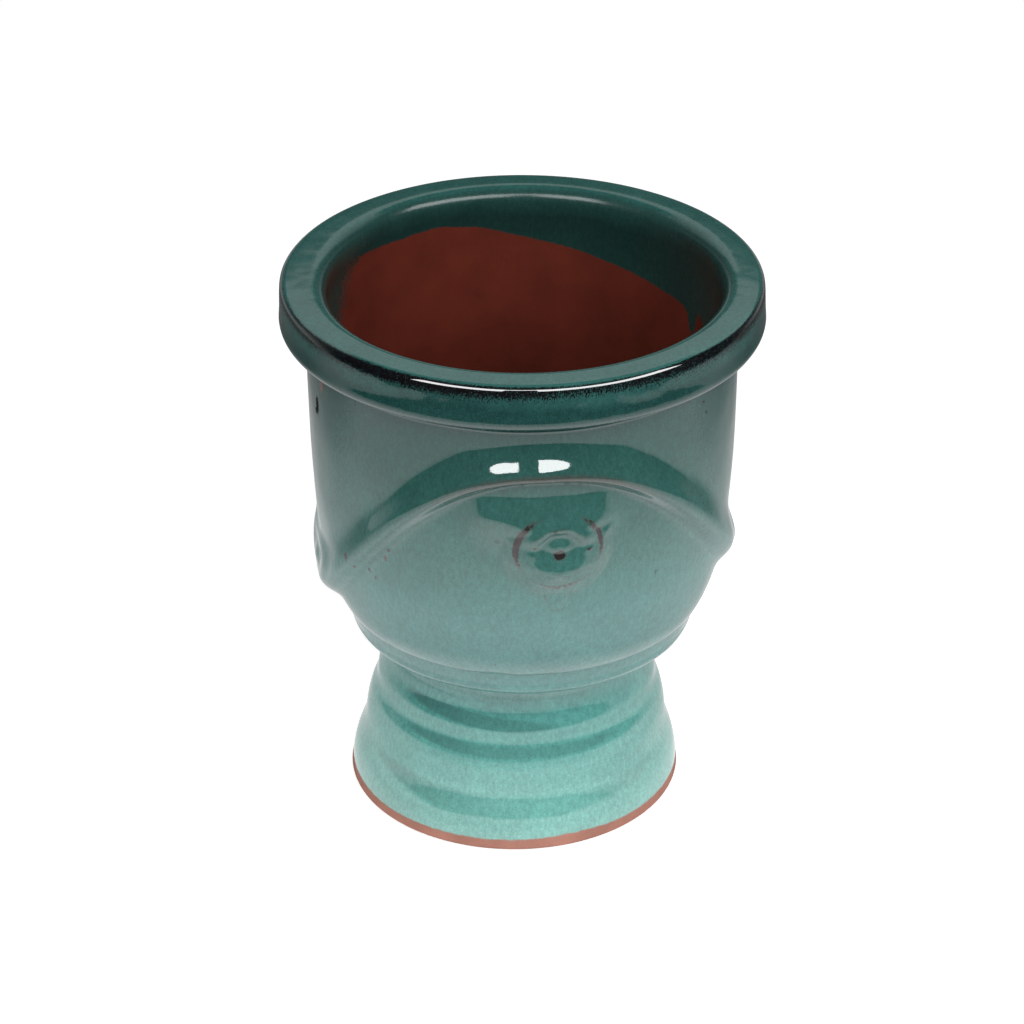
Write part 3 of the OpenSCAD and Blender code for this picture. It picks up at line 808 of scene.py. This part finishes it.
def make_bowl():
    """The thrown wall with its pressed ornament, and the inside with its floor and drain hole."""
    a = even_steps((low, high, round((high - low) / step)) for low, high, step in COLUMN_SPANS)[None, :]
    heights = np.append(even_steps(ROW_SPANS), RIM_BASE_Z)[:, None]
    outer, pools_and_shade = bowl_outside(a, heights)
    inside = bowl_inside()
    radii = np.concatenate([outer, np.broadcast_to(inside[:, :1], (len(inside), a.size))])
    levels = np.concatenate([heights, inside[:, 1:]])
    rows = len(heights)
    relief, brown, dull_shaded = (np.zeros(radii.shape) for _ in range(3))
    relief[:rows] = pools_and_shade
    brown[:rows] = softened(painted_breaks, a, heights, BREAKS_SOFT)
    dull_shaded[rows:] = 1.0
    clay = np.full(radii.shape, GLAZED)
    clay[rows:] = clay_share(a, levels[rows:])
    facts = {"relief": relief, "clay": clay, "brown": brown, "dull_shaded": dull_shaded}
    ornaments = sorted(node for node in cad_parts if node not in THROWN)
    rings = revolved(a, radii, levels)
    return skin("bowl_skin", rings, facts, glaze_body, "glaze_body", "bowl", *ornaments)


# THE RIM

RIM_COLUMNS = 540
ROUND_STEPS = 14
SEAT_STEPS, UNDER_STEPS, FACE_STEPS, TOP_STEPS, MOUTH_STEPS = 2, 6, 12, 5, 10

# The radii between which the rim's outside begins
OUTSIDE_SPAN = (MOUTH_R + 9.0, MOUTH_R + 18.0)
# How much fuller the rim is than its outline, how much more so near the back, and where
FULLER, FULLER_BACK, BACK_AT = 0.3, 0.7, 188.0
FULLER_SPAN = (RIM_BASE_Z + 16.0, RIM_TOP_Z - 6.0)
# How far its shoulder is raised there, and the heights between which it rises
BACK_LIFT, BACK_LIFT_SPAN = 0.55, (RIM_TOP_Z - 9.0, RIM_TOP_Z - 3.0)
# How far the lip stands in at the left, and the (angle, half width), radii and heights of that
INSET, INSET_AT = 3.6, (257.0, 55.0)
INSET_R_SPAN, INSET_Z_SPAN = (MOUTH_R + 6.0, MOUTH_R + 20.0), (RIM_BASE_Z + 4.0, RIM_TOP_Z - 10.0)

# The dark break along the shoulder is fuller at its left and right: (angle, half width)
BREAK_LEFT, BREAK_AND_SHADE_RIGHT = (322.0, 66.0), (40.0, 70.0)
# Its strength, the distance inward at which it ends and the length over which it fades down the face, as
# (everywhere, more at the left, more at the right)
# Part of the strength at the right is painted shade, darkening the rim's right side
BREAK_SIDES = ((0.50, 0.32, 0.26), (5.6, 0.8, 0.0), (4.5, 0.6, 1.6))
# The distances inward at which its end and its fading begin
BREAK_END_FROM, BREAK_FADE_FROM = 3.4, -1.0
# The radius at which the bare clay stops, and those between which the glaze inside turns dull and painted
# dark with shade
CLAY_R, DULL_SHADED_SPAN = MOUTH_R + 0.5, (MOUTH_R + 1.0, MOUTH_R + 8.0)


def rim_path():
    """The rim's outline, from its seat on the wall round to the mouth, and where its shoulder begins."""
    roll_r, roll_z = RIM_R - RIM_UNDER_ROUND, RIM_BASE_Z + RIM_UNDER_RISE + RIM_UNDER_ROUND
    shoulder_z = RIM_TOP_Z - RIM_CROWN - RIM_SHOULDER_ROUND
    lean = math.radians(RIM_LEAN)
    differ = RIM_UNDER_ROUND - RIM_SHOULDER_ROUND
    shoulder_r = roll_r + (differ - math.sin(lean) * (shoulder_z - roll_z)) / math.cos(lean)
    under = arc(roll_r, roll_z, RIM_UNDER_ROUND, -90.0, RIM_LEAN, ROUND_STEPS)
    shoulder = arc(shoulder_r, shoulder_z, RIM_SHOULDER_ROUND, RIM_LEAN, 90.0, ROUND_STEPS)
    lip_r, lip_z = MOUTH_R + RIM_LIP_ROUND, RIM_TOP_Z - RIM_LIP_ROUND
    lip = arc(lip_r, lip_z, RIM_LIP_ROUND, 90.0, 180.0, ROUND_STEPS)
    seat, wall_top = (MOUTH_R, RIM_BASE_Z), (BOWL_R, RIM_BASE_Z)
    before = [
        [seat], line(seat, wall_top, SEAT_STEPS), [wall_top], line(wall_top, under[0], UNDER_STEPS), under,
        line(under[-1], shoulder[0], FACE_STEPS),
    ]
    after = [shoulder, line(shoulder[-1], lip[0], TOP_STEPS), lip, line(lip[-1], seat, MOUTH_STEPS)]
    return np.concatenate(before + after), sum(len(part) for part in before)


def rim_shape(a, r, z):
    """The rim's radii and heights as it was thrown, from those of its outline."""
    outside = ease(r, *OUTSIDE_SPAN)
    back = (1.0 + side_of(a - BACK_AT)) / 2.0
    full = outside * ease(z, *FULLER_SPAN)
    wobble = (waves(a, z, RIM_WAVES) - RIM_WAVES_IN) * outside
    inset = INSET * around(a, *INSET_AT) * (1.0 - ease(r, *INSET_R_SPAN)) * ease(z, *INSET_Z_SPAN)
    radii = r + wobble + (FULLER + FULLER_BACK * back) * full - inset
    lift = BACK_LIFT * back * full * ease(z, *BACK_LIFT_SPAN)
    return radii, np.minimum(z + lift, RIM_TOP_Z)


def rim_breaks(a, inward):
    """How far the glaze breaks black, by the distance inward along the outline from its shoulder."""
    left, right = bump(a, *BREAK_LEFT), around(a, *BREAK_AND_SHADE_RIGHT)
    # At the right, part of this darkening is painted shade
    strength, end, fade = (base + lefts * left + rights * right for base, lefts, rights in BREAK_SIDES)
    above = 1.0 - ease(inward, BREAK_END_FROM, end)
    return strength * above * np.exp(-np.clip(BREAK_FADE_FROM - inward, 0.0, None) / fade)


def make_rim():
    """The rolled rim, whose glaze breaks dark along the shoulder."""
    a = even_steps([(0.0, 360.0, RIM_COLUMNS)])[None, :]
    path, first = rim_path()
    r, z = path[:, :1], path[:, 1:]
    along = np.concatenate([[0.0], np.cumsum(np.hypot(*(np.diff(path, axis=0).T)))])
    radii, levels = rim_shape(a, r, z)
    facts = {
        "clay": np.where(r < CLAY_R, clay_share(a, levels), GLAZED),
        "breaks": rim_breaks(a, (along - along[first])[:, None]),
        "dull_shaded": 1.0 - ease(r, *DULL_SHADED_SPAN),
    }
    return skin("rim_skin", revolved(a, radii, levels), facts, glaze_rim, "glaze_rim", "rim")


# THE COLLAR

COLLAR_COLUMNS = 480
COLLAR_ARC_STEPS, COLLAR_SIDE_STEPS, COLLAR_TOP_STEPS = 10, 8, 2
# The radii between which the waves begin, and the depth and half height of the crease that holds glaze
COLLAR_WAVES_SPAN = (COLLAR_BORE_R + 2.0, COLLAR_BORE_R + 8.0)
# The crease is darkened as pooled glaze and painted shade in the joint between collar and bowl
COLLAR_CREASE_SHADE, COLLAR_CREASE_SHADE_HALF = 2.8, 2.0


def make_collar():
    """The coil round the joint between bowl and foot."""
    a = even_steps([(0.0, 360.0, COLLAR_COLUMNS)])[None, :]
    turn_r = COLLAR_TURN_R - COLLAR_ROUND
    first = -math.degrees(math.acos((COLLAR_BORE_R - turn_r) / COLLAR_ROUND))
    lower = arc(turn_r, COLLAR_BASE_Z + COLLAR_ROUND, COLLAR_ROUND, first, 0.0, COLLAR_ARC_STEPS)
    top, bore = (COLLAR_R - COLLAR_TOP_IN, BOWL_EDGE_Z), (COLLAR_BORE_R, BOWL_EDGE_Z)
    side = line(lower[-1], top, COLLAR_SIDE_STEPS)
    path = np.concatenate([lower, side, [top], line(top, bore, COLLAR_TOP_STEPS), [bore]])
    r, z = path[:, :1], path[:, 1:]
    rings = revolved(a, r + waves(a, z, COLLAR_WAVES) * ease(r, *COLLAR_WAVES_SPAN), z)
    facts = {"relief": -COLLAR_CREASE_SHADE * bump(z, BOWL_EDGE_Z, COLLAR_CREASE_SHADE_HALF)}
    return skin("collar_skin", rings, facts, glaze_body, "glaze_body", "collar")


# THE FOOT

FOOT_COLUMNS = 480
FOOT_EDGE_STEPS, FLANK_ROWS, NECK_STEPS, CUP_STEPS, HOLLOW_ROWS = 5, 86, 8, 4, 20
# The heights between which the waves begin, and between which they end
FOOT_WAVES_START, FOOT_WAVES_END = (0.0, 12.0), (WAIST_Z + 2.0, COLLAR_BASE_Z)

# How dark each groove is painted, as pooled glaze and painted shade, and where: (middle, half width) in
# degrees
GROOVE_POOL_AND_SHADE = (1.0, 0.85, 0.34)
GROOVE_SPAN = ((-25.0, 55.0), (-10.0, 73.0), (-8.0, 100.0))
# How far a pool climbs: in millimetres a degree, up to so many degrees away, and towards both sides
POOL_CLIMB = ((-0.11, 0.0), (0.0, 2.0), (0.0, 9.0))
POOL_CLIMB_MOST = 40.0
POOL_DARKER_BESIDE = 0.95
# A pool's drop and half height as shares of its groove's half height, and the span that cuts its edge
POOL_DROP, POOL_HALF, POOL_EDGE = 0.5, 0.62, (0.12, 0.48)

# The bare ring at the ground: its height, the softness of its edge, and its waves: (height, count, turn)
RING_H, RING_SOFT = 8.0, 2.0
RING_WAVES = ((0.5, 3.0, 40.0), (0.3, 7.0, 0.0))


def flare_r(z):
    """Outer radius of the foot's smooth flare."""
    return FOOT_R - (FOOT_R - WAIST_R) * (np.clip(z, 0.0, None) / WAIST_Z) ** FLARE_POWER


def foot_path():
    """The foot's outline, up its outside and down its hollow, and how many of its points are outside."""
    edge = arc(FOOT_R - FOOT_EDGE_ROUND, FOOT_EDGE_ROUND, FOOT_EDGE_ROUND, -90.0, 0.0, FOOT_EDGE_STEPS)
    flank_z = np.linspace(FOOT_EDGE_ROUND, WAIST_Z, FLANK_ROWS)[1:]
    flank = np.stack([flare_r(flank_z), flank_z], axis=-1)
    climb = np.radians(np.linspace(0.0, 90.0, NECK_STEPS + 1)[1:])
    neck_r = WAIST_R + (JOINT_R - WAIST_R) * (1.0 - np.cos(climb))
    neck = np.stack([neck_r, WAIST_Z + (COLLAR_BASE_Z - WAIST_Z) * np.sin(climb)], axis=-1)
    hollow_z = np.linspace(WAIST_Z, 0.0, HOLLOW_ROWS)
    hollow = np.stack([flare_r(hollow_z) - FOOT_WALL, hollow_z], axis=-1)
    bore = (CUP_BORE_R, CUP_Z)
    cup = [(JOINT_R, CUP_Z), bore]
    path = np.concatenate([edge, flank, neck, cup, line(bore, hollow[0], CUP_STEPS), hollow])
    return path, len(edge) + len(flank) + len(neck)


def foot_relief(a, z):
    """How far the foot's outside stands off its smooth flare, with its waves, its grooves and its toe."""
    high = HIGH_GROOVE_SHARE + (1.0 - HIGH_GROOVE_SHARE) * around(a, *HIGH_GROOVE_AT)
    grooves = sum(
        depth * bump(z, at, half) * share
        for depth, at, half, share in zip(GROOVE_DEPTH, GROOVE_Z, GROOVE_HALF, (high, 1.0, 1.0))
    )
    held = ease(z, *FOOT_WAVES_START) * (1.0 - ease(z, *FOOT_WAVES_END))
    return waves(a, z, FOOT_WAVES) * held - grooves - TOE_IN * (1.0 - ease(z, *TOE_SPAN))


def foot_pools_and_shade(a, z):
    """Where the grooves are painted dark, below 0: pooled glaze and painted shade."""
    pools_and_shade = 0.0
    for groove_z, half, depth, (middle, reach), (climb, rise) in zip(
        GROOVE_Z, GROOVE_HALF, GROOVE_POOL_AND_SHADE, GROOVE_SPAN, POOL_CLIMB
    ):
        turn = np.clip(off_from(a, middle), -POOL_CLIMB_MOST, POOL_CLIMB_MOST)
        pool_z = groove_z - POOL_DROP * half + climb * turn + rise * beside(a)
        near = bump(z, pool_z, POOL_HALF * half) * around(a, middle, reach)
        pools_and_shade = pools_and_shade - (depth + POOL_DARKER_BESIDE * beside(a)) * ease(near, *POOL_EDGE)
    return pools_and_shade


def make_foot():
    """The flared foot with its throwing grooves, hollow inside, with a bare ring at the ground."""
    a = even_steps([(0.0, 360.0, FOOT_COLUMNS)])[None, :]
    path, outer_rows = foot_path()
    r, z = path[:, :1], path[:, 1:]
    outside = (np.arange(len(path)) < outer_rows)[:, None]
    rings = revolved(a, r + outside * foot_relief(a, z), z)
    aside = FOOT_ASIDE * (1.0 - ease(z, *FOOT_ASIDE_END)) * (1.0 - FOOT_LEAN * z / WAIST_Z)
    rings = rings + aside[:, :, None] * MM * np.array(FOOT_ASIDE_WAY)[None, None, :]
    bare_z = RING_H + sum(h * np.sin(np.radians(count * a + turn)) for h, count, turn in RING_WAVES)
    clay = np.where(outside, np.clip((bare_z - z) / RING_SOFT, GLAZED, BARE), BARE)
    facts = {"relief": outside * foot_pools_and_shade(a, z), "clay": clay}
    return skin("foot_skin", rings, facts, glaze_foot, "glaze_foot", "foot")


make_bowl()
make_rim()
make_collar()
make_foot()


# STAGE

CAMERA_AZIMUTH = -8.0
CAMERA_ELEVATION = 29.95
CAMERA_DISTANCE = 2380.0
LOOK_AT_Z = 199.3
FOCAL_PIXELS = 3506.0
FRAME_PIXELS = 1024.0
AXIS_OFF_PIXELS = 10.0
SENSOR_MM = 36.0

# The floor's glow as the camera sees it, the even light from all round, and the dark studio in reflections
FLOOR_GLOW = 0.66
AMBIENT = 0.36
DARK_STUDIO = 0.012
PAPER = (0.8, 0.8, 0.8)

# The floor, and how bright reflections see it, by distance from the urn as a share of its radius
FLOOR_R = 1.05
FLOOR_CORNERS = 128
FLOOR_Z = -0.0004
SHINE_FRONT = (
    (0.12, 1.15), (0.155, 0.95), (0.19, 0.74), (0.23, 0.84), (0.29, 0.93), (0.36, 0.82), (0.42, 0.74),
    (0.48, 0.64), (0.53, 0.58), (0.60, 0.53), (0.72, 0.54), (0.84, 0.44), (0.92, 0.34), (1.0, 0.30),
)
SHINE_BACK = ((0.14, 0.78), (0.36, 0.72), (0.44, 0.56), (0.52, 0.48), (0.62, 0.28), (0.74, 0.12), (1.0, 0.08))
# Azimuths between which the floor's front turns into its back, at the right and the left
BACK_RIGHT, BACK_LEFT = (86.0, 122.0), (-80.0, -112.0)

# The backdrop: how bright reflections see it, by height in metres, behind the urn and at its sides
WALL_TOP = 1.6
WALL_BY_HEIGHT = (
    (0.0, 0.10), (0.10, 0.12), (0.20, 0.36), (0.30, 0.44), (0.44, 0.32), (0.58, 0.08), (0.80, 0.03),
    (0.86, 0.10), (0.91, 0.40), (1.10, 0.42),
)
SIDE_BY_HEIGHT = ((0.0, 0.50), (0.12, 0.46), (0.30, 0.44), (0.50, 0.38), (0.64, 0.14), (1.6, 0.14))
# Azimuths of its ends, of where its sides turn into its back, and between which it fades in
WALL_ENDS, WALL_COLUMNS = (82.0, 310.0), 61
WALL_BEHIND = (104.0, 124.0)
WALL_LEFT, WALL_RIGHT = (-84.0, -116.0), (100.0, 130.0)

# Soft boxes: name, azimuth, elevation, distance, width, height and power
LAMPS = (
    ("left_box", -28.0, 37.0, 1.5, 0.9, 0.7, 7.5),
    ("right_box", 43.0, 37.0, 1.5, 0.9, 0.7, 11.5),
)
LAMP_AIM = Vector((0.0, 0.0, 0.2))

# Windows that the glaze reflects: name, the azimuths and the elevations they lie between
WINDOWS = (
    ("left_window", (-64.0, -9.0), (24.0, 46.0)),
    ("right_window", (6.5, 76.0), (24.0, 46.0)),
    ("between_windows", (-9.0, 6.5), (37.0, 44.0)),
)
WINDOW_GLOW = 7.0
WINDOW_CENTRE = Vector((0.0, 0.0, 0.3))
WINDOW_DISTANCE = 2.2
WINDOW_COLUMNS, WINDOW_ROWS = 17, 7


def make_camera():
    """The camera at the photograph's angle. The urn's axis stands a little right of the middle."""
    back, right = toward_camera(0.0, CAMERA_ELEVATION), toward_camera(90.0)
    aim = Vector((0.0, 0.0, LOOK_AT_Z)) - right * (AXIS_OFF_PIXELS / FOCAL_PIXELS * CAMERA_DISTANCE)
    data = bpy.data.cameras.new("camera")
    data.sensor_width = SENSOR_MM
    data.lens = FOCAL_PIXELS / FRAME_PIXELS * SENSOR_MM
    camera = placed("camera", data)
    camera.location = (aim + back * CAMERA_DISTANCE) * MM
    camera.rotation_euler = (-back).to_track_quat("-Z", "Y").to_euler()
    bpy.context.scene.camera = camera


def toward_camera(azimuth, elevation=0.0):
    """Unit direction from the urn, with the azimuth counted from the camera's, positive to the right."""
    a, e = math.radians(azimuth + CAMERA_AZIMUTH), math.radians(elevation)
    return Vector((math.sin(a) * math.cos(e), -math.cos(a) * math.cos(e), math.sin(e)))


def bearing(s, vector):
    """(azimuth in degrees from the front of the studio, distance from the axis) of a place, as nodes."""
    place = s.add("SeparateXYZ", {0: vector})
    x, y = place.outputs["X"], place.outputs["Y"]
    front, right = toward_camera(0.0), toward_camera(90.0)
    ahead = s.math("ADD", s.math("MULTIPLY", x, front.x), s.math("MULTIPLY", y, front.y))
    sideways = s.math("ADD", s.math("MULTIPLY", x, right.x), s.math("MULTIPLY", y, right.y))
    azimuth = s.math("MULTIPLY", s.math("ARCTAN2", sideways, ahead), 180.0 / math.pi)
    distance = s.math("SQRT", s.math("ADD", s.math("POWER", x, 2.0), s.math("POWER", y, 2.0)))
    return azimuth, distance


def make_floor():
    """A white table, seen white, which keeps a soft shadow. In reflections it darkens away from the urn."""
    bpy.ops.mesh.primitive_circle_add(
        vertices=FLOOR_CORNERS, radius=FLOOR_R, fill_type="NGON", location=(0.0, 0.0, FLOOR_Z)
    )
    floor = bpy.context.object
    floor.name = "floor"
    s = Shader(bpy.data.materials.new("floor"))
    path = s.add("LightPath")
    paper = s.add("BsdfDiffuse", {"Color": PAPER}).outputs[0]
    seen = s.emission(WHITE, s.math("MULTIPLY", path.outputs["Is Camera Ray"], FLOOR_GLOW))
    lit = s.add("AddShader", {0: paper, 1: seen}).outputs[0]
    azimuth, distance = bearing(s, s.place())
    far = s.math("DIVIDE", distance, FLOOR_R)
    behind = s.math("ADD", s.span(azimuth, *BACK_RIGHT), s.span(azimuth, *BACK_LEFT), clamp=True)
    level = s.mix(behind, s.level_ramp(far, *SHINE_FRONT), s.level_ramp(far, *SHINE_BACK))
    reflected = s.emission(level, 1.0)
    floor.data.materials.append(s.end(s.blend(path.outputs["Is Glossy Ray"], lit, reflected)))


def make_world():
    """White behind everything, even light from all round, and a studio that reflections see dark."""
    world = bpy.data.worlds.new("studio")
    bpy.context.scene.world = world
    s = Shader(world)
    path = s.add("LightPath")
    ambient = s.math("MULTIPLY_ADD", path.outputs["Is Camera Ray"], 1.0 - AMBIENT, AMBIENT)
    inputs = {"Factor": path.outputs["Is Glossy Ray"], 2: ambient, 3: DARK_STUDIO}
    strength = s.add("Mix", inputs, data_type="FLOAT")
    shade = s.add("Background", {"Color": WHITE, "Strength": strength.outputs[0]})
    s.end(shade.outputs[0], "OutputWorld")


def make_lamp(name, azimuth, elevation, distance, width, height, power):
    """A soft box that lights the urn. Only its light shows, not the box."""
    data = bpy.data.lights.new(name, "AREA")
    data.shape, data.size, data.size_y, data.energy = "RECTANGLE", width, height, power
    lamp = placed(name, data)
    way = toward_camera(azimuth, elevation)
    lamp.location = LAMP_AIM + way * distance
    lamp.rotation_euler = (-way).to_track_quat("-Z", "Y").to_euler()
    lamp.visible_camera = lamp.visible_glossy = False


def make_patch(name, points, material):
    """A sheet of the studio through a grid of points, rows by columns, for reflections alone."""
    rows, count = len(points), len(points[0])
    quads = [
        (i * count + j, i * count + j + 1, (i + 1) * count + j + 1, (i + 1) * count + j)
        for i in range(rows - 1)
        for j in range(count - 1)
    ]
    mesh = bpy.data.meshes.new(name)
    mesh.from_pydata([p for row in points for p in row], [], quads)
    piece = placed(name, mesh)
    piece.data.materials.append(material)
    piece.visible_camera = piece.visible_diffuse = piece.visible_shadow = piece.visible_transmission = False


def make_window(name, azimuths, elevations):
    """A bright window that only the glaze reflects, as a patch of a sphere round the urn."""
    s = Shader(bpy.data.materials.new(name))
    points = [
        [
            WINDOW_CENTRE + toward_camera(azimuth, elevation) * WINDOW_DISTANCE
            for azimuth in np.linspace(*azimuths, WINDOW_COLUMNS)
        ]
        for elevation in np.linspace(*elevations, WINDOW_ROWS)
    ]
    make_patch(name, points, s.end(s.emission(WHITE, WINDOW_GLOW)))


def make_backdrop():
    """The studio wall behind the urn and at its sides, which only the glaze reflects."""
    s = Shader(bpy.data.materials.new("backdrop"))
    where = s.place()
    azimuth, _ = bearing(s, where)
    high = s.math("DIVIDE", s.add("SeparateXYZ", {0: where}).outputs["Z"], WALL_TOP)
    wall, side = (
        s.level_ramp(high, *[(z / WALL_TOP, level) for z, level in stops])
        for stops in (WALL_BY_HEIGHT, SIDE_BY_HEIGHT)
    )
    level = s.mix(s.span(s.math("ABSOLUTE", azimuth), *WALL_BEHIND), side, wall)
    share = s.math("ADD", s.span(azimuth, *WALL_LEFT), s.span(azimuth, *WALL_RIGHT), clamp=True)
    points = [
        [toward_camera(a) * FLOOR_R + Vector((0.0, 0.0, z)) for a in np.linspace(*WALL_ENDS, WALL_COLUMNS)]
        for z in (0.0, WALL_TOP)
    ]
    make_patch("backdrop", points, s.end(s.emission(level, share)))


make_camera()
make_floor()
make_world()
for lamp in LAMPS:
    make_lamp(*lamp)
for window in WINDOWS:
    make_window(*window)
make_backdrop()

bpy.context.scene.view_settings.view_transform = "Standard"
